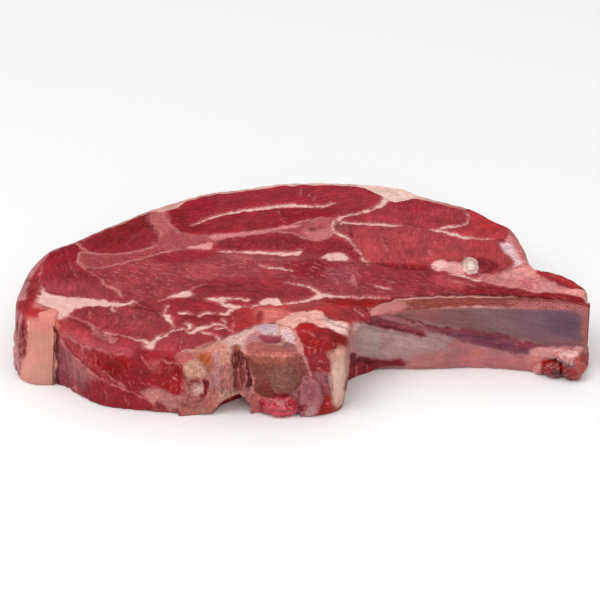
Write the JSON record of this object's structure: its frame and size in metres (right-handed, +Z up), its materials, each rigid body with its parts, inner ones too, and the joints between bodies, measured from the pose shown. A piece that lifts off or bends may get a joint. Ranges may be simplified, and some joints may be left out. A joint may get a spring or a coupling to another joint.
{
  "type": "bone-in mutton shoulder chop",
  "caption": "Raw slice of mutton shoulder lying on its sawn face, with blade bone, rib, backbone, fat seams and a thin cap of fat.",
  "frame": {"origin": "middle of the slice's length and depth, on the plane that it rests on", "axes": "+X along the slice towards the rib's sawn end, -Y towards the backbone's sawn face, +Z up from the resting face"},
  "size_m": [0.1965, 0.123, 0.026],
  "materials": {
    "muscle": "raw red muscle, moist, with a soft sheen",
    "bone": "sawn bone with pink marrow, dull and slightly moist",
    "fat": "pinkish white fat, moist, with a soft sheen",
    "dried_fat": "tan dried outer fat, dull",
    "gristle": "pale gristle and sinew, smooth and moist"
  },
  "bodies": {
    "root": {"meat": "muscle", "neck_muscle": "muscle", "brisket_tip": "muscle", "foot_scrap": "muscle", "blade_bone": "bone", "rib_bone": "bone", "backbone": "bone", "fat_cap": "fat", "brisket_fat": "fat", "seam_fat": "fat", "tan_fat": "dried_fat", "sinew": "gristle", "gristle": "gristle", "vein": "gristle"}
  },
  "joints": []
}
